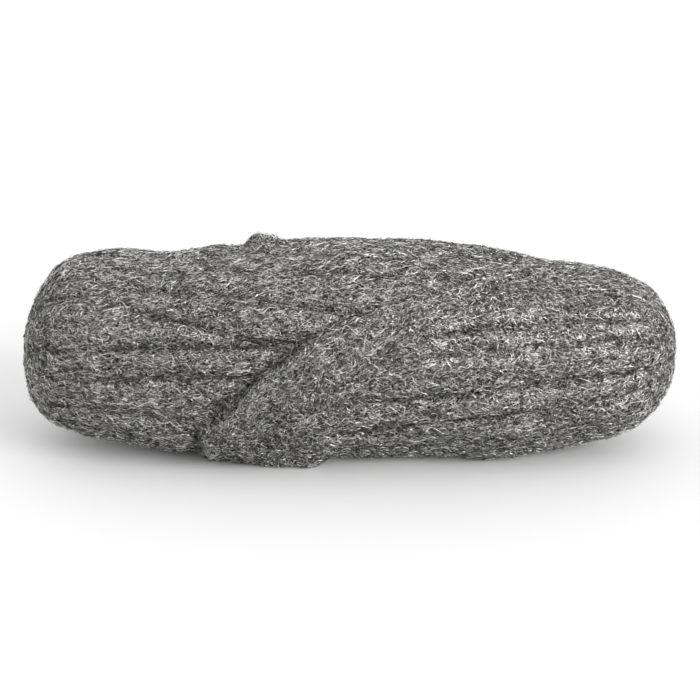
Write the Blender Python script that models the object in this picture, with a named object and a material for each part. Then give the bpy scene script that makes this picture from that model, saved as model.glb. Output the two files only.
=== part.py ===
"""Steel wool bundle: one long ribbon of shaved steel fibre, folded to and fro into a hank.

The hank lies on its side along X. The ribbon's last turn leaves the right half, runs down the front on a
slant, goes under the hank, comes up the back and is tucked in on top, where its end stands up as a tuft.
The origin is the middle of the footprint, at the floor, with +Z up and the front towards -Y.
"""

import math

import bmesh
import bpy
import numpy as np
from mathutils import Vector, noise

MILLIMETRE = 0.001

LENGTH = 0.650
SQUARENESS = 2.5  # of the hank's section: 2 is an ellipse, more is boxier
DEPTH_TO_HEIGHT = 1.02

# The hank's top and underside at places along X, all in millimetres above the floor. Where the underside
# would lie lower than the floor, the hank's weight has pressed it flat.
PROFILE = [
    (-300, 193, 34), (-250, 195, 17), (-200, 193, 6), (-140, 199, -4), (-60, 203, -5), (0, 208, -1),
    (70, 204, -3), (130, 199, -5), (190, 186, 1), (250, 178, 11), (320, 182, 18),
]

# The two rounded ends: their length along X, and how fully they are filled out.
LEFT_END, LEFT_FULLNESS = 0.046, 1.9
RIGHT_END, RIGHT_FULLNESS = 0.088, 2.15
LEFT_LEAN = 0.017  # the left end's foot reaches this far beyond its middle, and its top as far behind

# Angles go round the hank's own axis: 0 faces the front, 90 the top, 180 the back and 270 the floor.
# The folded plies lie side by side, with a furrow between each two. A furrow is given by its angle at the
# hank's end, the angle it would have at the hank's middle, and its depth in millimetres.
LEFT_FURROWS = [
    (78, 60, 2.5), (66, 38, 3.0), (60, 10, 4.0), (18, 23, 4.5), (-2, 7, 4.0), (-22, -22, 3.5),
    (-42, -42, 3.0), (98, 84, 2.0), (120, 112, 3.0), (142, 146, 4.0), (168, 163, 3.5), (190, 194, 4.0),
    (216, 212, 3.5),
]
RIGHT_FURROWS = [
    (46, 20, 3.5), (29, 11, 2.5), (4, -10, 4.5), (-10, -28, 3.0), (-28, -46, 3.0), (66, 44, 2.5),
    (86, 80, 2.0), (112, 116, 3.0), (140, 136, 4.0), (162, 168, 3.5), (192, 188, 4.0), (214, 218, 3.5),
]
FURROW_WIDTH = 0.0055

# The wrap, from its tucked end on top, down the back, under the hank and up the front, where it fans out
# into the right half. At each angle: its left and right edges along X, its thickness at each, and the
# width over which its right edge dies away, all in millimetres.
WRAP = [
    (100, -101, -40, 3, 0, 16),
    (125, -108, -41, 5, 2, 16),
    (180, -128, -43, 9, 8, 14),
    (270, -148, -45, 3, 12, 14),
    (300, -150, -44, 3, 13, 16),
    (331, -147, -20, 9, 5, 50),
    (350, -117, 60, 13, 1, 120),
    (366, -86, 110, 12, 0, 140),
    (382, -48, 160, 11, 0, 140),
    (394, -2, 200, 9, 0, 120),
    (411, 88, 250, 6, 0, 100),
    (422, 129, 270, 4, 0, 80),
    (446, 182, 280, 0, 0, 60),
]
WRAP_EDGE = 0.013  # width of the rounded lip at the wrap's left edge
WRAP_PINCH = 0.004  # depth to which the wrap draws in the wool beside that lip
WRAP_CREASES = [(0.28, 2.0), (0.52, 1.6)]  # share of the wrap's width, and depth in millimetres
CREASE_WIDTH = 0.008
FAN_STARTS, FAN_WIDTH = 0.060, 0.080  # distance from the lip to its fan, and the width of the turn into it

TUFT_AT = (-0.086, 104)  # along X, and the angle round the hank
TUFT_SIZE = (0.024, 0.014, 0.009)  # half length, half width and height
TUFT_RUFFLE = 0.011  # size of its ruffles

LUMP_SIZE, LUMP_HEIGHT = 0.055, 0.0030  # the hank's slow unevenness
KNOT_SIZE, KNOT_HEIGHT = 0.016, 0.0012  # and its small tangles

STATIONS, SPOKES = 300, 216  # the fine grid that the form is drawn on
SHARE_KEPT = 0.068  # of that grid's triangles, in the finished solid


def smooth_step(value):
    """0 below 0, 1 above 1, and a smooth rise between."""
    value = np.clip(value, 0.0, 1.0)
    return value * value * (3.0 - 2.0 * value)


def round_step(value):
    """0 below 0, 1 above 1, and between them the steep foot and round shoulder of a lip."""
    return np.sin(np.clip(value, 0.0, 1.0) * math.pi / 2)


def turn_between(angle, middle):
    """The angle measured from middle, from minus half a turn to half a turn."""
    return (angle - middle + math.pi) % (2 * math.pi) - math.pi


def end_taper(x):
    """The section's size at x, as a share of what the profile gives there."""
    into_left = np.clip((-x - LENGTH / 2 + LEFT_END) / LEFT_END, 0.0, 1.0)
    into_right = np.clip((x - LENGTH / 2 + RIGHT_END) / RIGHT_END, 0.0, 1.0)
    return np.sqrt(1.0 - into_left**LEFT_FULLNESS - into_right**RIGHT_FULLNESS)


def section(x, angle):
    """The height of the hank's axis at x, and the distance from it to a rounded-box section."""
    stops = [row[0] * MILLIMETRE for row in PROFILE]
    top = np.interp(x, stops, [row[1] * MILLIMETRE for row in PROFILE])
    underside = np.interp(x, stops, [row[2] * MILLIMETRE for row in PROFILE])
    half = (top - underside) / 2
    across = np.abs(np.cos(angle)) / DEPTH_TO_HEIGHT
    upright = np.abs(np.sin(angle))
    reach = (across**SQUARENESS + upright**SQUARENESS) ** (-1.0 / SQUARENESS)
    return underside + half, half * reach * end_taper(x)


def wrap_at(angle):
    """The wrap's edges, thicknesses and fading width in metres, at an angle in radians."""
    first = WRAP[0][0]
    turn = (np.degrees(angle) - first) % 360.0 + first
    stops = [row[0] for row in WRAP]
    return [np.interp(turn, stops, [row[k] * MILLIMETRE for row in WRAP]) for k in range(1, 6)]


def fanned_out(x, angle):
    """0 on the wrap beside its lip, and 1 where its strands have turned to lie along the hank."""
    return smooth_step((x - wrap_at(angle)[0] - FAN_STARTS) / FAN_WIDTH)


def wrap_relief(x, angle):
    """How far the wrap stands out, less its creases and the wool that it draws in beside its lip."""
    left, right, thick_left, thick_right, fade = wrap_at(angle)
    share = np.clip((x - left) / (right - left), 0.0, 1.0)
    thickness = thick_left + (thick_right - thick_left) * share
    raised = thickness * round_step((x - left) / WRAP_EDGE) * (1.0 - smooth_step((x - right) / fade))
    tight = smooth_step(thick_left / (6 * MILLIMETRE))
    for crease, depth in WRAP_CREASES:
        away = (x - left - crease * (right - left)) / CREASE_WIDTH
        creased = tight * (1.0 - fanned_out(x, angle)) * np.exp(-(away**2))
        raised = raised - depth * MILLIMETRE * creased
    beside = (x - left + WRAP_EDGE / 2) / WRAP_EDGE
    return raised - WRAP_PINCH * tight * np.exp(-(beside**2) * 2)


def furrow_relief(x, angle, radius):
    """The furrows between plies. On the left they end under the wrap, and on the right in its fan."""
    left_of_wrap = smooth_step((wrap_at(angle)[0] - x) / WRAP_EDGE + 0.5)
    relief = np.zeros_like(x)
    for furrows, side, bare in ((LEFT_FURROWS, -1, left_of_wrap), (RIGHT_FURROWS, 1, fanned_out(x, angle))):
        reach = np.clip(side * x / (LENGTH / 2), 0.0, 1.0)
        for at_end, at_middle, depth in furrows:
            middle = np.radians(at_middle + (at_end - at_middle) * reach)
            away = turn_between(angle, middle) * radius / FURROW_WIDTH
            relief -= depth * MILLIMETRE * bare * np.exp(-(away**2))
    return relief


def tuft_relief(x, angle, radius):
    """The ribbon's tucked end, which stands up in a small lump."""
    at_x, at_angle = TUFT_AT
    half_length, half_width, height = TUFT_SIZE
    sideways = turn_between(angle, math.radians(at_angle)) * radius
    away = ((x - at_x) / half_length) ** 2 + (sideways / half_width) ** 2
    return height * smooth_step(1.15 - away)


def uneven(points, size, height):
    """Smooth random heights, one for each point, that rise and fall over a distance of size."""
    flat = [noise.noise(Vector(point) / size) * height for point in points.reshape(-1, 3)]
    return np.array(flat).reshape(points.shape[:-1])


def hank_surface():
    """The grid of points on the hank, as an array of stations by spokes by three."""
    x = np.sin(np.linspace(-math.pi / 2, math.pi / 2, STATIONS))[1:-1, None] * LENGTH / 2
    angle = np.linspace(0.0, 2 * math.pi, SPOKES, endpoint=False)[None, :]
    x, angle = np.broadcast_arrays(x, angle)
    middle, radius = section(x, angle)
    plain = np.stack([x, -radius * np.cos(angle), radius * np.sin(angle)], axis=-1)
    tuft = tuft_relief(x, angle, radius)
    ruffled = tuft * (1.0 + uneven(plain, TUFT_RUFFLE, 0.8))
    relief = wrap_relief(x, angle) + furrow_relief(x, angle, radius) + ruffled
    relief = relief + uneven(plain, LUMP_SIZE, LUMP_HEIGHT) + uneven(plain, KNOT_SIZE, KNOT_HEIGHT)
    radius = radius + relief * smooth_step(end_taper(x) / 0.7)
    towards_left = smooth_step((-x / (LENGTH / 2) - 0.3) * 1.45)
    lean = LEFT_LEAN * towards_left * np.sin(angle) * radius / middle
    return np.stack([x + lean, -radius * np.cos(angle), middle + radius * np.sin(angle)], axis=-1)


def loft(points):
    """A closed skin over the grid, with a pole at each end."""
    mesh = bmesh.new()
    rings = [[mesh.verts.new(point) for point in ring] for ring in points]
    for ring, following in zip(rings, rings[1:]):
        for k in range(SPOKES):
            after = (k + 1) % SPOKES
            mesh.faces.new((ring[k], ring[after], following[after], following[k]))
    for end in (0, -1):
        pole = mesh.verts.new(points[end].mean(axis=0))
        for k in range(SPOKES):
            mesh.faces.new((pole, rings[end][k], rings[end][(k + 1) % SPOKES]))
    bmesh.ops.recalc_face_normals(mesh, faces=mesh.faces)
    return mesh


def floor_cutter():
    """A slab whose top is the floor. It presses the hank's underside flat."""
    mesh = bpy.data.meshes.new("floor_cutter")
    shape = bmesh.new()
    bmesh.ops.create_cube(shape, size=1.0)
    bmesh.ops.translate(shape, vec=(0.0, 0.0, -0.5), verts=shape.verts)
    shape.to_mesh(mesh)
    shape.free()
    cutter = bpy.data.objects.new("floor_cutter", mesh)
    cutter.hide_render = True
    cutter.display_type = "WIRE"
    bpy.context.scene.collection.objects.link(cutter)
    return cutter


def steel_wool():
    """Matted low-carbon steel fibre: grey, bright where single fibres catch the light."""
    material = bpy.data.materials.new("steel_wool")
    material.use_nodes = True
    shader = material.node_tree.nodes["Principled BSDF"]
    shader.inputs["Base Color"].default_value = (0.20, 0.20, 0.195, 1.0)
    shader.inputs["Metallic"].default_value = 0.8
    shader.inputs["Roughness"].default_value = 0.5
    return material


def steel_wool_bundle():
    """The whole hank, as one solid."""
    points = hank_surface()
    footprint = points[..., :2].reshape(-1, 2)
    points[..., :2] -= (footprint.min(axis=0) + footprint.max(axis=0)) / 2
    shape = loft(points)
    mesh = bpy.data.meshes.new("steel_wool_bundle")
    shape.to_mesh(mesh)
    shape.free()
    mesh.shade_smooth()
    mesh.materials.append(steel_wool())
    bundle = bpy.data.objects.new("steel_wool_bundle", mesh)
    bpy.context.scene.collection.objects.link(bundle)
    fewer = bundle.modifiers.new("fewer_faces", "DECIMATE")
    fewer.ratio = SHARE_KEPT
    press = bundle.modifiers.new("pressed_flat", "BOOLEAN")
    press.operation = "DIFFERENCE"
    press.object = floor_cutter()
    return bundle


for leftover in list(bpy.data.objects):
    bpy.data.objects.remove(leftover)
steel_wool_bundle()
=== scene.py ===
"""The looks of a steel wool bundle: a matted hank of shaved steel under a coat of single curled strands."""

import math

import bmesh
import bpy
import numpy as np
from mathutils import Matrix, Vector, noise


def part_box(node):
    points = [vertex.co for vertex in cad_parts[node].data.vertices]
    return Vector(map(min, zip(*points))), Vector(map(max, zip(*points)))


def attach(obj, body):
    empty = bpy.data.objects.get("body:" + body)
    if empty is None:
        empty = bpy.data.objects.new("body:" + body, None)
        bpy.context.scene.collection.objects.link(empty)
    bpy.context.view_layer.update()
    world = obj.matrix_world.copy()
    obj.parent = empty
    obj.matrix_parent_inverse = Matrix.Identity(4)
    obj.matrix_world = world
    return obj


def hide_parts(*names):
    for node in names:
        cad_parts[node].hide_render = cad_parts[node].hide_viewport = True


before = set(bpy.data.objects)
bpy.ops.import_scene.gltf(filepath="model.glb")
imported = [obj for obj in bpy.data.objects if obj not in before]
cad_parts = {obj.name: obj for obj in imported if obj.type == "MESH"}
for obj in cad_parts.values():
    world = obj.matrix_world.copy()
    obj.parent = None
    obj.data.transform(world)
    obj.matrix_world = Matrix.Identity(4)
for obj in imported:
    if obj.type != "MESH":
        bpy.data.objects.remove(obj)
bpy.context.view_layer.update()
scene = bpy.context.scene

# ---- The matted hank ---------------------------------------------------------------------------------
# One long ribbon of shaved low-carbon steel, folded to and fro into a hank, with its last turn wrapped
# slantwise round the waist. Under the loose strands its plies are matted so closely that they act as
# one springy body, dark with painted shade, with furrows between the plies and a lip at the wrap's edge.

HANK = "steel_wool_bundle"
MM = 0.001
hank_low, hank_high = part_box(HANK)
HALF_LENGTH = (hank_high.x - hank_low.x) / 2
AXIS_HEIGHT = 99 * MM
GIRTH_RADIUS = 105 * MM

# The wrap's left edge round the hank: angle (0 front, 90 top, 180 back, 270 floor) and place along X in mm.
WRAP_EDGE = [
    (100, -101), (125, -108), (180, -128), (270, -148), (300, -150), (331, -147), (350, -117), (366, -86),
    (382, -48), (394, -2), (411, 88), (422, 129), (446, 182),
]
# Where the strands keep to the wrap's own direction: angle, width in mm, and the width of their fanning out.
WRAP_WIDTH = [(100, 60, 8), (300, 105, 8), (331, 75, 60), (366, 60, 90), (411, 45, 90), (446, 30, 60)]
# How deep the furrow beside the wrap's lip is cut and how dark its painted shade is: angle and shade.
LIP_SHADE = [(100, 0.4), (300, 0.6), (366, 0.7), (400, 0.6), (430, 0.3), (446, 0.0)]

# The gaps between the folded plies: angle at the hank's end, angle at its middle, and depth in mm.
LEFT_GAPS = [
    (78, 60, 2.5), (66, 38, 3.0), (60, 10, 4.0), (18, 23, 4.5), (-2, 7, 4.0), (-22, -22, 3.5),
    (-42, -42, 3.0), (98, 84, 2.0), (120, 112, 3.0), (142, 146, 4.0), (168, 163, 3.5), (190, 194, 4.0),
    (216, 212, 3.5),
]
RIGHT_GAPS = [
    (46, 20, 3.5), (29, 11, 2.5), (4, -10, 4.5), (-10, -28, 3.0), (-28, -46, 3.0), (66, 44, 2.5),
    (86, 80, 2.0), (112, 116, 3.0), (140, 136, 4.0), (162, 168, 3.5), (192, 188, 4.0), (214, 218, 3.5),
]
DEEPEST_GAP = 4.5
GAP_WIDTH = 2.2 * MM
GAP_CUT = 2.6 * MM  # how far the deepest gap goes in beyond the furrow of the frame's solid
GAP_WANDER, GAP_WANDER_RUN = 1.5 * MM, 30 * MM

SKIN_VOXEL = 3.0 * MM
SKIN_INSET = 1.6 * MM  # leaves room for the strands inside the frame's solid
PLY_RIDGE, PLY_WIDTH, PLY_RUN = 1.2 * MM, 9 * MM, 140 * MM
TANGLE_RISE, TANGLE_SIZE = 0.3 * MM, 6 * MM


def smooth_step(value):
    """0 below 0, 1 above 1, and a smooth rise between."""
    value = np.clip(value, 0.0, 1.0)
    return value * value * (3.0 - 2.0 * value)


def rise(places):
    """Smooth random heights from about -1 to 1, one for each place."""
    return np.array([noise.noise(Vector(place)) for place in places])


def round_the_hank(points):
    """Each point's angle round the hank's axis, from the wrap's tucked end on, in degrees."""
    angle = np.degrees(np.arctan2(points[:, 2] - AXIS_HEIGHT, -points[:, 1]))
    first = WRAP_EDGE[0][0]
    return (angle - first) % 360 + first


def wrap_across(points):
    """How far each point lies to the right of the wrap's left edge, in metres."""
    return points[:, 0] - np.interp(round_the_hank(points), *zip(*WRAP_EDGE)) * MM


def wrap_share(points):
    """1 where the wrap's strands show, 0 where the hank's do, and between in the fan."""
    turns, widths, fades = zip(*WRAP_WIDTH)
    turn, across = round_the_hank(points), wrap_across(points)
    width, fade = np.interp(turn, turns, widths) * MM, np.interp(turn, turns, fades) * MM
    return smooth_step(across / (5 * MM)) * (1.0 - smooth_step((across - width) / fade))


def ply_gaps(points):
    """How deep in a gap each point lies: 1 at the bottom of the deepest gap or under the wrap's lip. Both the cut
    and the painted shade of the furrows follow it.
    """
    across = wrap_across(points)
    bare_left = smooth_step(-across / (10 * MM) + 0.5)
    bare_right = smooth_step((across - 70 * MM) / (70 * MM))
    angle = np.radians(round_the_hank(points))
    radius = np.hypot(points[:, 1], points[:, 2] - AXIS_HEIGHT)
    depth = np.zeros(len(points))
    for gaps, side, bare in ((LEFT_GAPS, -1, bare_left), (RIGHT_GAPS, 1, bare_right)):
        reach = np.clip(side * points[:, 0] / HALF_LENGTH, 0.0, 1.0)
        for at_end, at_middle, deep in gaps:
            middle = np.radians(at_middle + (at_end - at_middle) * reach)
            away = ((angle - middle + math.pi) % (2 * math.pi) - math.pi) * radius
            away += rise(points / GAP_WANDER_RUN + at_end) * GAP_WANDER
            depth = np.maximum(depth, deep / DEEPEST_GAP * bare * np.exp(-((away / GAP_WIDTH) ** 2)))
    lip = np.exp(-(((across + 2 * MM) / (4 * MM)) ** 2)) * np.interp(round_the_hank(points), *zip(*LIP_SHADE))
    return np.maximum(depth, lip)


def lay_direction(points):
    """The way in which the strands run at each point, as unit vectors."""
    turn = round_the_hank(points)
    ahead, behind = (np.interp(turn + step, *zip(*WRAP_EDGE)) * MM for step in (3, -3))
    angle = np.radians(turn)
    slant = (ahead - behind) / math.radians(6)
    along_wrap = np.stack([slant, GIRTH_RADIUS * np.sin(angle), GIRTH_RADIUS * np.cos(angle)], axis=1)
    along_wrap /= np.linalg.norm(along_wrap, axis=1, keepdims=True)
    share = wrap_share(points)[:, None]
    blended = along_wrap * share + np.array([1.0, 0.0, 0.0]) * (1.0 - share)
    return blended / np.linalg.norm(blended, axis=1, keepdims=True)


def vectors_of(items, field):
    """One vector of each vertex or normal, as an array."""
    values = np.empty(len(items) * 3, np.float32)
    items.foreach_get(field, values)
    return values.reshape(-1, 3).astype(float)


def put_attribute(mesh, name, kind, values):
    """Stores one value for each vertex under a name that node trees can read."""
    attribute = mesh.attributes.new(name, kind, "POINT")
    field = "vector" if kind == "FLOAT_VECTOR" else "value"
    attribute.data.foreach_set(field, np.ascontiguousarray(values, np.float32).ravel())


def plain_mesh(piece, name):
    """The piece as its modifiers leave it, as a mesh of its own."""
    piece_now = piece.evaluated_get(bpy.context.evaluated_depsgraph_get())
    mesh = bpy.data.meshes.new_from_object(piece_now)
    mesh.name = name
    return mesh


def matted_hank():
    """The hank's body: the frame's solid, rounded off and roughened into ridges of matted fibre."""
    shape = bmesh.new()
    shape.from_mesh(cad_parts[HANK].data)
    bmesh.ops.remove_doubles(shape, verts=shape.verts, dist=1e-6)
    mesh = bpy.data.meshes.new("matted_hank")
    shape.to_mesh(mesh)
    shape.free()
    hank = bpy.data.objects.new("matted_hank", mesh)
    scene.collection.objects.link(hank)
    remesh = hank.modifiers.new("even_skin", "REMESH")
    remesh.mode = "VOXEL"
    remesh.voxel_size = SKIN_VOXEL
    smooth = hank.modifiers.new("rounded_off", "SMOOTH")
    smooth.factor = 0.5
    smooth.iterations = 6
    mesh = plain_mesh(hank, "matted_hank")
    hank.modifiers.clear()
    hank.data = mesh
    points, normals = vectors_of(mesh.vertices, "co"), vectors_of(mesh.vertex_normals, "vector")
    lay = lay_direction(points)
    along = (points * lay).sum(axis=1, keepdims=True) * lay
    relief = rise((points - along) / PLY_WIDTH + along / PLY_RUN) * PLY_RIDGE
    relief += rise(points / TANGLE_SIZE) * TANGLE_RISE
    gaps = ply_gaps(points)
    relief -= SKIN_INSET + gaps * GAP_CUT
    relief *= smooth_step((points[:, 2] - 1 * MM) / (12 * MM))
    across, share = wrap_across(points), wrap_share(points)
    points += normals * relief[:, None]
    points[:, 2] = np.maximum(points[:, 2], hank_low.z + 0.2 * MM)
    mesh.vertices.foreach_set("co", points.astype(np.float32).ravel())
    mesh.update()
    mesh.shade_smooth()
    put_attribute(mesh, "lay", "FLOAT_VECTOR", lay)
    put_attribute(mesh, "wrap", "FLOAT", share)
    put_attribute(mesh, "across", "FLOAT", across)
    # The gaps' depth, kept for the colours: painted shade in the furrows and beside the lip.
    put_attribute(mesh, "gap_shade", "FLOAT", gaps)
    put_attribute(mesh, "end_on", "FLOAT", np.abs(normals[:, 0]))
    return hank


def linear(colour):
    """An sRGB hex colour as linear red, green, blue and alpha."""
    parts = [int(colour[k : k + 2], 16) / 255 for k in (1, 3, 5)]
    return [c / 12.92 if c <= 0.04045 else ((c + 0.055) / 1.055) ** 2.4 for c in parts] + [1.0]


def node(tree, kind, inputs=None, **settings):
    """Adds a node with these settings. Each input is a value, an output to link, or a node for its first."""
    made = tree.nodes.new(kind)
    for name, value in settings.items():
        setattr(made, name, value)
    for key, value in (inputs or {}).items():
        if isinstance(value, bpy.types.Node):
            value = value.outputs[0]
        if isinstance(value, bpy.types.NodeSocket):
            tree.links.new(value, made.inputs[key])
        else:
            made.inputs[key].default_value = value
    return made


# Layers of fibre from the lowest up: each one's angle to the lay, how far apart its fibres lie, how long
# one shows before it dips under, and how strongly it curls. Real fibres are 0.05 to 0.1 mm thick, which
# is too fine to show, so they are drawn about 1 mm wide.
FIBRE_LAYERS = [
    (1.30, 2.0 * MM, 9 * MM, 2.4), (-0.80, 2.1 * MM, 10 * MM, 2.6), (0.55, 2.1 * MM, 11 * MM, 2.4),
    (-1.20, 2.3 * MM, 9 * MM, 2.8), (-0.35, 2.2 * MM, 12 * MM, 2.2), (0.15, 2.4 * MM, 14 * MM, 2.4),
]
FIBRE_SHARE = 0.21  # half a fibre's width, as a share of its layer's spacing
CURL_SIZE = 5 * MM
PATCH_SIZE = 7 * MM  # of the ragged edge between two lays


def steel_and_painted_light(tree, tone, shader):
    """Bare steel with painted light: from a fibre painted dark as in shade, 0, to one painted near white as if it
    caught the light, 1.
    """
    ramp = node(tree, "ShaderNodeValToRGB", {"Fac": tone})
    ramp.color_ramp.elements[0].color = linear("#141414")
    ramp.color_ramp.elements[1].color = linear("#fbfaf8")
    middle = ramp.color_ramp.elements.new(0.5)
    middle.color = linear("#7f7e7c")
    tree.links.new(ramp.outputs[0], shader.inputs["Base Color"])


def matted_steel():
    """Matted low-carbon steel fibre, as shaved and carded: dull grey curls, with painted shade near black between
    them.
    """
    material = bpy.data.materials.new("matted_low_carbon_steel_fibre")
    material.use_nodes = True
    tree = material.node_tree
    shader = tree.nodes["Principled BSDF"]
    place = node(tree, "ShaderNodeTexCoord").outputs["Object"]
    apart = node(tree, "ShaderNodeSeparateXYZ", {"Vector": place}).outputs
    ragged = node(tree, "ShaderNodeTexNoise", {"Vector": place, "Scale": 1 / PATCH_SIZE})
    # Where the fibres run along the hank: along it, and round its girth from a seam underneath.
    up = node(tree, "ShaderNodeMath", {0: apart["Z"], 1: AXIS_HEIGHT}, operation="SUBTRACT")
    turn = node(tree, "ShaderNodeMath", {0: apart["Y"], 1: up}, operation="ARCTAN2")
    girth = node(tree, "ShaderNodeMath", {0: turn, 1: GIRTH_RADIUS}, operation="MULTIPLY")
    along_hank = node(tree, "ShaderNodeCombineXYZ", {"X": apart["X"], "Y": girth})
    # Where they run with the wrap: round the girth, and across the wrap.
    across = node(tree, "ShaderNodeAttribute", attribute_name="across").outputs["Fac"]
    along_wrap = node(tree, "ShaderNodeCombineXYZ", {"X": girth, "Y": across})
    wrap = node(tree, "ShaderNodeAttribute", attribute_name="wrap").outputs["Fac"]
    wrap_here = node(tree, "ShaderNodeMath", {0: ragged, 1: 0.6, 2: wrap}, operation="MULTIPLY_ADD")
    on_wrap = node(tree, "ShaderNodeMath", {0: wrap_here, 1: 0.8}, operation="GREATER_THAN")
    # And where they turn over the ends.
    round_end = node(tree, "ShaderNodeCombineXYZ", {"X": apart["Z"], "Y": apart["Y"]})
    end_on = node(tree, "ShaderNodeAttribute", attribute_name="end_on").outputs["Fac"]
    end_here = node(tree, "ShaderNodeMath", {0: ragged, 1: 0.3, 2: end_on}, operation="MULTIPLY_ADD")
    on_end = node(tree, "ShaderNodeMath", {0: end_here, 1: 0.9}, operation="GREATER_THAN")
    waist = node(tree, "ShaderNodeMix", {0: on_wrap, 4: along_hank, 5: along_wrap}, data_type="VECTOR")
    laid = node(tree, "ShaderNodeMix", {0: on_end, 4: waist.outputs[1], 5: round_end}, data_type="VECTOR")
    # Where no fibre lies the tone stays 0, the ramp's near black: painted shade of the wool's depths.
    tone, height = 0.0, 0.0
    for layer, (angle, spacing, length, curl) in enumerate(FIBRE_LAYERS):
        turned = node(
            tree, "ShaderNodeMapping",
            {"Vector": laid.outputs[1], "Rotation": (0, 0, angle), "Scale": (length, spacing, 1)},
            vector_type="TEXTURE",
        )
        curls = node(
            tree, "ShaderNodeTexNoise",
            {"Vector": place, "W": 7.3 * layer, "Scale": 1 / CURL_SIZE, "Detail": 1.0},
            noise_dimensions="4D",
        )
        curled = node(
            tree, "ShaderNodeVectorMath",
            {0: curls.outputs["Color"], 1: (curl * spacing / length, curl, 0), 2: turned},
            operation="MULTIPLY_ADD",
        )
        parts = node(tree, "ShaderNodeSeparateXYZ", {"Vector": curled}).outputs
        fibre = node(tree, "ShaderNodeMath", {0: parts["Y"]}, operation="FLOOR")
        shifted = node(tree, "ShaderNodeMath", {0: fibre, 1: 0.618, 2: parts["X"]}, operation="MULTIPLY_ADD")
        stretch = node(tree, "ShaderNodeMath", {0: shifted}, operation="FLOOR")
        which = node(tree, "ShaderNodeCombineXYZ", {"X": fibre, "Y": stretch, "Z": float(layer)})
        chance = node(tree, "ShaderNodeTexWhiteNoise", {"Vector": which}, noise_dimensions="3D")
        inside = node(tree, "ShaderNodeMath", {0: parts["Y"], 1: 0.5}, operation="PINGPONG")
        wide = node(
            tree, "ShaderNodeMapRange",
            {"Value": inside, "From Min": 0.5 - FIBRE_SHARE, "From Max": 0.5 - FIBRE_SHARE * 0.3},
            interpolation_type="SMOOTHSTEP",
        )
        from_end = node(tree, "ShaderNodeMath", {0: shifted, 1: 0.5}, operation="PINGPONG")
        shown = node(tree, "ShaderNodeMapRange", {"Value": from_end, "From Max": 0.15})
        mask = node(tree, "ShaderNodeMath", {0: wide, 1: shown}, operation="MULTIPLY")
        tone = node(tree, "ShaderNodeMix", {0: mask, 2: tone, 3: chance.outputs["Value"]})
        sunk = node(tree, "ShaderNodeMath", {0: height, 1: 0.6}, operation="MULTIPLY")
        height = node(tree, "ShaderNodeMath", {0: sunk, 1: mask}, operation="MAXIMUM")
    # Painted shade: the colour is darker in the furrows and beside the wrap's lip.
    gap_shade = node(tree, "ShaderNodeAttribute", attribute_name="gap_shade").outputs["Fac"]
    lit = node(tree, "ShaderNodeMath", {0: gap_shade, 1: -0.35, 2: 1.0}, operation="MULTIPLY_ADD")
    seen = node(tree, "ShaderNodeMath", {0: tone, 1: lit}, operation="MULTIPLY")
    steel_and_painted_light(tree, seen, shader)
    bump = node(tree, "ShaderNodeBump", {"Height": height, "Strength": 0.8, "Distance": 0.6 * MM})
    tree.links.new(bump.outputs["Normal"], shader.inputs["Normal"])
    shader.inputs["Metallic"].default_value = 0.9
    shader.inputs["Roughness"].default_value = 0.42
    return material


hank = matted_hank()
hank.data.materials.append(matted_steel())
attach(hank, "root")
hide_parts(HANK)

# ---- The strands --------------------------------------------------------------------------------------
# The coat of single fibres that gives the wool its look: three-cornered slivers of bare steel, curled by
# the blade that shaved them. They lie roughly along the ribbon, cross each other, dip into the mat and
# stand off it at their ends. Real ones are finer still: these are as thin as they can be and still show.

STRAND_INPUTS = {
    "Spacing": ("NodeSocketFloat", 4.2 * MM), "Length": ("NodeSocketFloat", 9 * MM),
    "Points": ("NodeSocketInt", 4), "Thickness": ("NodeSocketFloat", 0.8 * MM),
    "Scatter": ("NodeSocketFloat", 1.2), "Curl": ("NodeSocketFloat", 8 * MM),
    "Stand Off": ("NodeSocketFloat", 1.2 * MM), "Loose End": ("NodeSocketFloat", 3 * MM),
    "Seed": ("NodeSocketInt", 1), "Material": ("NodeSocketMaterial", None),
}


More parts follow.
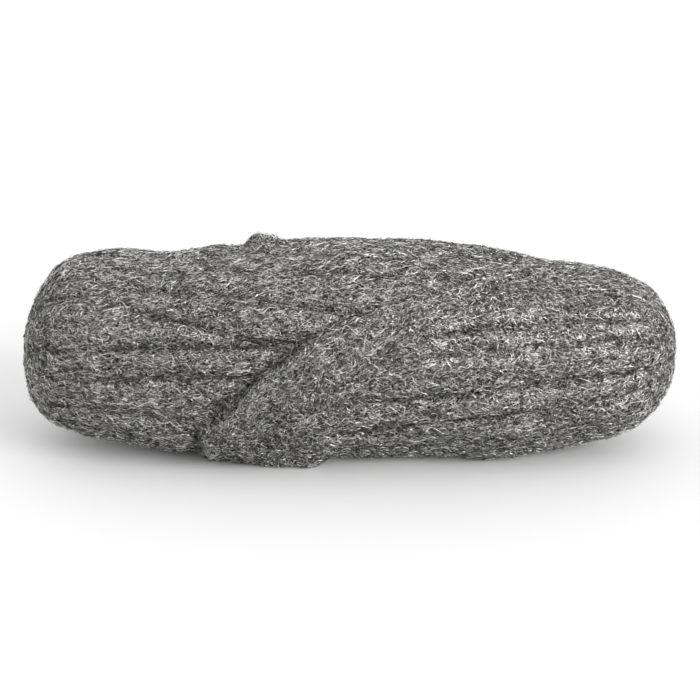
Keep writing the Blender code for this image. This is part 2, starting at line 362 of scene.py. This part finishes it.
def strand_tree():
    """Lays curled three-cornered strands on a surface, along its lay."""
    tree = bpy.data.node_groups.new("curled_strands", "GeometryNodeTree")
    face = tree.interface
    face.new_socket(name="Geometry", in_out="OUTPUT", socket_type="NodeSocketGeometry")
    face.new_socket(name="Geometry", in_out="INPUT", socket_type="NodeSocketGeometry")
    for name, (kind, value) in STRAND_INPUTS.items():
        made = face.new_socket(name=name, in_out="INPUT", socket_type=kind)
        if value is not None:
            made.default_value = value
    given = node(tree, "NodeGroupInput").outputs

    # Where each strand lies, and which way it points.
    share = node(tree, "GeometryNodeInputNamedAttribute", {"Name": "share"}, data_type="FLOAT")
    apart = node(tree, "ShaderNodeMath", {0: given["Spacing"], 1: -2.0}, operation="POWER")
    tries = node(tree, "ShaderNodeMath", {0: apart, 1: 4.0}, operation="MULTIPLY")
    spread = node(
        tree, "GeometryNodeDistributePointsOnFaces",
        {
            "Mesh": given["Geometry"], "Distance Min": given["Spacing"], "Density Max": tries,
            "Density Factor": share, "Seed": given["Seed"],
        },
        distribute_method="POISSON",
    )
    lay = node(tree, "GeometryNodeInputNamedAttribute", {"Name": "lay"}, data_type="FLOAT_VECTOR")
    seeds = [
        node(tree, "ShaderNodeMath", {0: given["Seed"], 1: 100.0 * salt}, operation="ADD") for salt in range(6)
    ]
    swings = [
        node(tree, "FunctionNodeRandomValue", {2: low, 3: 1.0, "Seed": seed}, data_type="FLOAT").outputs[1]
        for low, seed in ((-1.0, seeds[0]), (0.0, seeds[1]))
    ]
    swing = node(tree, "ShaderNodeMath", {0: swings[0], 1: swings[1]}, operation="MULTIPLY")
    scatter = node(tree, "GeometryNodeInputNamedAttribute", {"Name": "scatter"}, data_type="FLOAT")
    scattered = node(tree, "ShaderNodeMath", {0: scatter, 1: given["Scatter"]}, operation="MULTIPLY")
    angle = node(tree, "ShaderNodeMath", {0: swing, 1: scattered}, operation="MULTIPLY")
    kept_up = node(
        tree, "GeometryNodeStoreNamedAttribute",
        {"Geometry": spread.outputs["Points"], "Name": "up", "Value": spread.outputs["Normal"]},
        data_type="FLOAT_VECTOR", domain="POINT",
    )
    up = node(tree, "GeometryNodeInputNamedAttribute", {"Name": "up"}, data_type="FLOAT_VECTOR")
    along = node(
        tree, "FunctionNodeAxesToRotation", {"Primary Axis": up, "Secondary Axis": lay},
        primary_axis="Z", secondary_axis="X",
    )
    about = node(tree, "FunctionNodeAxisAngleToRotation", {"Axis": (0.0, 0.0, 1.0), "Angle": angle})
    facing = node(
        tree, "FunctionNodeRotateRotation", {"Rotation": along, "Rotate By": about}, rotation_space="LOCAL"
    )
    straight = node(tree, "GeometryNodeCurvePrimitiveLine", {"Start": (-0.5, 0, 0), "End": (0.5, 0, 0)})
    stick = node(tree, "GeometryNodeResampleCurve", {"Curve": straight, "Count": given["Points"]})
    longer = node(tree, "FunctionNodeRandomValue", {2: 0.55, 3: 1.45, "Seed": seeds[2]}, data_type="FLOAT")
    length = node(tree, "ShaderNodeMath", {0: given["Length"], 1: longer.outputs[1]}, operation="MULTIPLY")
    laid = node(
        tree, "GeometryNodeInstanceOnPoints",
        {"Points": kept_up, "Instance": stick, "Rotation": facing, "Scale": length},
    )
    for name, seed in (("luck", seeds[3]), ("whim", seeds[4]), ("tone", seeds[5])):
        chance = node(tree, "FunctionNodeRandomValue", {2: 0.0, 3: 1.0, "Seed": seed}, data_type="FLOAT")
        laid = node(
            tree, "GeometryNodeStoreNamedAttribute", {"Geometry": laid, "Name": name, "Value": chance.outputs[1]},
            data_type="FLOAT", domain="INSTANCE",
        )
    real = node(tree, "GeometryNodeRealizeInstances", {"Geometry": laid})

    # Each strand's own curl, which is worth the same at any length.
    part = node(tree, "GeometryNodeSplineParameter").outputs["Factor"]
    luck = node(tree, "GeometryNodeInputNamedAttribute", {"Name": "luck"}, data_type="FLOAT")
    whim = node(tree, "GeometryNodeInputNamedAttribute", {"Name": "whim"}, data_type="FLOAT")
    far = node(tree, "ShaderNodeMath", {0: part, 1: 2.2}, operation="MULTIPLY")
    row = node(tree, "ShaderNodeMath", {0: luck, 1: 500.0}, operation="MULTIPLY")
    column = node(tree, "ShaderNodeMath", {0: whim, 1: 500.0}, operation="MULTIPLY")
    where = node(tree, "ShaderNodeCombineXYZ", {0: far, 1: row, 2: column})
    bends = node(tree, "ShaderNodeTexNoise", {"Vector": where, "Scale": 1.0, "Detail": 1.0})
    centred = node(
        tree, "ShaderNodeVectorMath", {0: bends.outputs["Color"], 1: (0.5, 0.5, 0.5)}, operation="SUBTRACT"
    )
    both_ways = node(tree, "ShaderNodeMath", {0: given["Curl"], 1: 2.0}, operation="MULTIPLY")
    sway = node(tree, "ShaderNodeVectorMath", {0: centred, "Scale": both_ways}, operation="SCALE")
    curled = node(tree, "GeometryNodeSetPosition", {"Geometry": real, "Offset": sway})

    # Back on the surface, over and under its neighbours, and off it at a loose end.
    here = node(tree, "GeometryNodeInputPosition")
    normal = node(tree, "GeometryNodeInputNormal")
    on_skin, upright = (
        node(
            tree, "GeometryNodeSampleNearestSurface",
            {"Mesh": given["Geometry"], "Value": value, "Sample Position": here}, data_type="FLOAT_VECTOR",
        )
        for value in (here, normal)
    )
    bob = node(tree, "ShaderNodeMath", {0: bends.outputs["Fac"], 1: 2.5, 2: -0.9}, operation="MULTIPLY_ADD")
    layer = node(tree, "ShaderNodeMath", {0: bob, 1: whim}, operation="ADD")
    off = node(tree, "ShaderNodeMath", {0: layer, 1: given["Stand Off"]}, operation="MULTIPLY")
    from_middle = node(tree, "ShaderNodeMath", {0: part, 1: 2.0, 2: -1.0}, operation="MULTIPLY_ADD")
    outward = node(tree, "ShaderNodeMath", {0: from_middle}, operation="ABSOLUTE")
    tip = node(tree, "ShaderNodeMath", {0: outward, 1: 3.0}, operation="POWER")
    few = node(tree, "ShaderNodeMath", {0: luck, 1: 4.0}, operation="POWER")
    loose = node(tree, "GeometryNodeInputNamedAttribute", {"Name": "loose"}, data_type="FLOAT")
    lift = node(tree, "ShaderNodeMath", {0: given["Loose End"], 1: loose}, operation="MULTIPLY")
    for factor in (tip, few):
        lift = node(tree, "ShaderNodeMath", {0: lift, 1: factor}, operation="MULTIPLY")
    height = node(tree, "ShaderNodeMath", {0: off, 1: lift}, operation="ADD")
    raised = node(tree, "ShaderNodeVectorMath", {0: upright, "Scale": height}, operation="SCALE")
    settled = node(tree, "ShaderNodeVectorMath", {0: on_skin, 1: raised}, operation="ADD")
    above_floor = node(tree, "ShaderNodeVectorMath", {0: settled, 1: (-9, -9, 0.6 * MM)}, operation="MAXIMUM")
    snapped = node(tree, "GeometryNodeSetPosition", {"Geometry": curled, "Position": above_floor})

    # The sliver round each strand, which tapers to nothing at both ends.
    index = node(tree, "GeometryNodeInputIndex")
    numbered = node(
        tree, "GeometryNodeStoreNamedAttribute", {"Geometry": snapped, "Name": "strand", "Value": index},
        data_type="INT", domain="CURVE",
    )
    measured = node(
        tree, "GeometryNodeStoreNamedAttribute", {"Geometry": numbered, "Name": "part", "Value": part},
        data_type="FLOAT", domain="POINT",
    )
    squared = node(tree, "ShaderNodeMath", {0: from_middle, 1: 2.0}, operation="POWER")
    rounded = node(tree, "ShaderNodeMath", {0: 1.0, 1: squared}, operation="SUBTRACT", use_clamp=True)
    taper = node(tree, "ShaderNodeMath", {0: rounded}, operation="SQRT")
    stout = node(tree, "ShaderNodeMath", {0: luck, 1: 0.7, 2: 0.6}, operation="MULTIPLY_ADD")
    wide = node(tree, "ShaderNodeMath", {0: taper, 1: stout}, operation="MULTIPLY")
    radius = node(tree, "ShaderNodeMath", {0: given["Thickness"], 1: 0.5}, operation="MULTIPLY")
    circle = node(tree, "GeometryNodeCurvePrimitiveCircle", {"Resolution": 3, "Radius": radius})
    section = node(
        tree, "GeometryNodeStoreNamedAttribute", {"Geometry": circle, "Name": "side", "Value": part},
        data_type="FLOAT", domain="POINT",
    )
    slivers = node(
        tree, "GeometryNodeCurveToMesh", {"Curve": measured, "Profile Curve": section, "Scale": wide}
    )
    closed = node(tree, "GeometryNodeMergeByDistance", {"Geometry": slivers, "Distance": 1e-6})
    output = node(tree, "GeometryNodeSetMaterial", {"Geometry": closed, "Material": given["Material"]})
    node(tree, "NodeGroupOutput", {"Geometry": output})
    return tree


GLINTS = 4.0  # how many painted glints run along a strand: bright and dark stretches painted in as if it turned to the light and away


def strand_steel():
    """Shaved low-carbon steel, bare and bright: each strand its own grey, with painted glints along it and
    painted shade in the furrows.
    """
    material = bpy.data.materials.new("shaved_low_carbon_steel")
    material.use_nodes = True
    tree = material.node_tree
    shader = tree.nodes["Principled BSDF"]
    own = node(tree, "ShaderNodeAttribute", attribute_name="tone").outputs["Fac"]
    part, luck, whim = (
        node(tree, "ShaderNodeAttribute", attribute_name=name).outputs["Fac"] for name in ("part", "luck", "whim")
    )
    # Painted glints: stretches of each strand painted brighter or darker.
    far = node(tree, "ShaderNodeMath", {0: part, 1: GLINTS}, operation="MULTIPLY")
    row = node(tree, "ShaderNodeMath", {0: luck, 1: 500.0}, operation="MULTIPLY")
    column = node(tree, "ShaderNodeMath", {0: whim, 1: 500.0}, operation="MULTIPLY")
    where = node(tree, "ShaderNodeCombineXYZ", {0: far, 1: row, 2: column})
    bends = node(tree, "ShaderNodeTexNoise", {"Vector": where, "Scale": 1.0, "Detail": 0.0})
    glint = node(
        tree, "ShaderNodeMapRange",
        {"Value": bends, "From Min": 0.35, "From Max": 0.65, "To Min": -0.4, "To Max": 0.4},
    )
    tone = node(tree, "ShaderNodeMath", {0: own, 1: glint}, operation="ADD")
    # Painted shade: strands in the furrows are painted darker.
    gap_shade = node(tree, "ShaderNodeAttribute", attribute_name="gap_shade").outputs["Fac"]
    shaded = node(tree, "ShaderNodeMath", {0: gap_shade, 1: -0.25, 2: tone}, operation="MULTIPLY_ADD")
    steel_and_painted_light(tree, shaded, shader)
    shader.inputs["Metallic"].default_value = 1.0
    shader.inputs["Roughness"].default_value = 0.34
    return material


def values_of(mesh, name, kind=np.float32):
    """An attribute's value at each vertex, as an array."""
    values = np.empty(len(mesh.vertices), kind)
    mesh.attributes[name].data.foreach_get("value", values)
    return values


def map_strands(mesh):
    """Unrolls each strand into a small cell of its own in a UV map named OFBake."""
    corners = np.empty(len(mesh.loops), np.int32)
    mesh.loops.foreach_get("vertex_index", corners)
    sides = np.empty(len(mesh.polygons), np.int32)
    mesh.polygons.foreach_get("loop_total", sides)
    face = np.repeat(np.arange(len(sides)), sides)
    strand = values_of(mesh, "strand", np.int32)[corners]
    part, side = (values_of(mesh, name)[corners] for name in ("part", "side"))
    on_tube = (part > 1e-4) & (part < 1.0 - 1e-4)
    lowest, highest = np.ones(len(sides)), np.zeros(len(sides))
    np.minimum.at(lowest, face[on_tube], side[on_tube])
    np.maximum.at(highest, face[on_tube], side[on_tube])
    closing = highest - lowest > 0.5  # the side that runs from the section's last corner back to its first
    side = np.where(closing[face] & (side < 0.1), 1.0, side)
    side = np.where(on_tube, side, np.where(closing, 5 / 6, (lowest + highest) / 2)[face])
    across = math.ceil(math.sqrt(strand.max() + 1))
    cells = np.stack([strand % across + 0.1 + 0.8 * part, strand // across + 0.1 + 0.8 * side], axis=1)
    layer = mesh.uv_layers.new(name="OFBake")
    layer.uv.foreach_set("vector", (cells / across).astype(np.float32).ravel())


TREE = strand_tree()
STEEL = strand_steel()
FLOOR_ZONE = 6 * MM  # few strands lie under the hank, where it rests
TUFT_AT, TUFT_REACH = Vector((-86 * MM, 20 * MM, 206 * MM)), 26 * MM  # the tucked end, where ends stand loose
points = vectors_of(hank.data.vertices, "co")
gaps, across = ply_gaps(points), wrap_across(points)
on_tuft = smooth_step(1.5 - np.linalg.norm(points - np.array(TUFT_AT), axis=1) / TUFT_REACH)
put_attribute(hank.data, "share", "FLOAT", np.where(points[:, 2] < FLOOR_ZONE, 0.1, 1.0) * (1.0 - 0.35 * gaps))
put_attribute(hank.data, "scatter", "FLOAT", 0.9 + 0.5 * smooth_step(across / (30 * MM)))
put_attribute(hank.data, "loose", "FLOAT", 1.0 + 1.2 * on_tuft)


def lay_strands(name, **sizes):
    """One coat of strands on the hank, as a plain mesh that rides with it."""
    coat = bpy.data.objects.new(name, hank.data.copy())
    scene.collection.objects.link(coat)
    strands = coat.modifiers.new("strands", "NODES")
    strands.node_group = TREE
    sizes["Material"] = STEEL
    for item in TREE.interface.items_tree:
        if item.in_out == "INPUT" and item.name in sizes:
            strands[item.identifier] = sizes[item.name]
    mesh = plain_mesh(coat, name)
    coat.modifiers.clear()
    coat.data = mesh
    print(name, sum(len(face.vertices) - 2 for face in mesh.polygons), "triangles", mesh.attributes["strand"].domain, mesh.attributes["strand"].data[len(mesh.vertices)-1].value)
    map_strands(mesh)
    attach(coat, "root")


SHORT = dict(Length=8.5 * MM, Points=4, Spacing=3.9 * MM, Thickness=0.7 * MM, Curl=10 * MM)
lay_strands("close_strands", Scatter=1.5, Seed=1, **SHORT)
lay_strands("cross_strands", Scatter=2.4, Seed=2, **SHORT)
lay_strands("upper_strands", Scatter=2.0, Seed=5, **SHORT)
LONG = dict(Thickness=0.7 * MM, Curl=16 * MM)
lay_strands("curled_strands", Length=14 * MM, Points=6, Spacing=5.5 * MM, Scatter=1.8, Seed=3, **LONG)
lay_strands("long_strands", Length=26 * MM, Points=8, Spacing=11 * MM, Scatter=1.0, Seed=4, **LONG)

# ---- Floor, light and camera ------------------------------------------------------------------------
# A pale floor under an even white studio, with one broad soft light from the upper right in front.
floor_mesh = bpy.data.meshes.new("floor")
floor_mesh.from_pydata([(-6, -6, 0), (6, -6, 0), (6, 6, 0), (-6, 6, 0)], [], [(0, 1, 2, 3)])
floor = bpy.data.objects.new("floor", floor_mesh)
scene.collection.objects.link(floor)
paint = bpy.data.materials.new("floor_paint")
paint.use_nodes = True
paint.node_tree.nodes["Principled BSDF"].inputs["Base Color"].default_value = linear("#d8d8d8")
paint.node_tree.nodes["Principled BSDF"].inputs["Roughness"].default_value = 0.9
floor_mesh.materials.append(paint)

world = bpy.data.worlds.new("studio")
world.use_nodes = True
world.node_tree.nodes["Background"].inputs["Color"].default_value = (1, 1, 1, 1)
world.node_tree.nodes["Background"].inputs["Strength"].default_value = 1.25
scene.world = world

key = bpy.data.lights.new("key", "SUN")
key.energy = 3.2
key.angle = math.radians(35)
sun = bpy.data.objects.new("key", key)
sun.rotation_euler = Vector((-1.2, 0.9, -0.5)).to_track_quat("-Z", "Y").to_euler()
scene.collection.objects.link(sun)

ELEVATION = math.radians(20.0)
DISTANCE = 2.0
target = Vector((0.0, 0.0, 98 * MM))
lens = bpy.data.cameras.new("camera")
lens.sensor_width = 36.0
lens.lens = lens.sensor_width / 2 / (0.35 / DISTANCE)
camera = bpy.data.objects.new("camera", lens)
camera.location = target + Vector((0.0, -math.cos(ELEVATION), math.sin(ELEVATION))) * DISTANCE
camera.rotation_euler = (target - camera.location).to_track_quat("-Z", "Y").to_euler()
scene.collection.objects.link(camera)
scene.camera = camera
scene.view_settings.view_transform = "Standard"
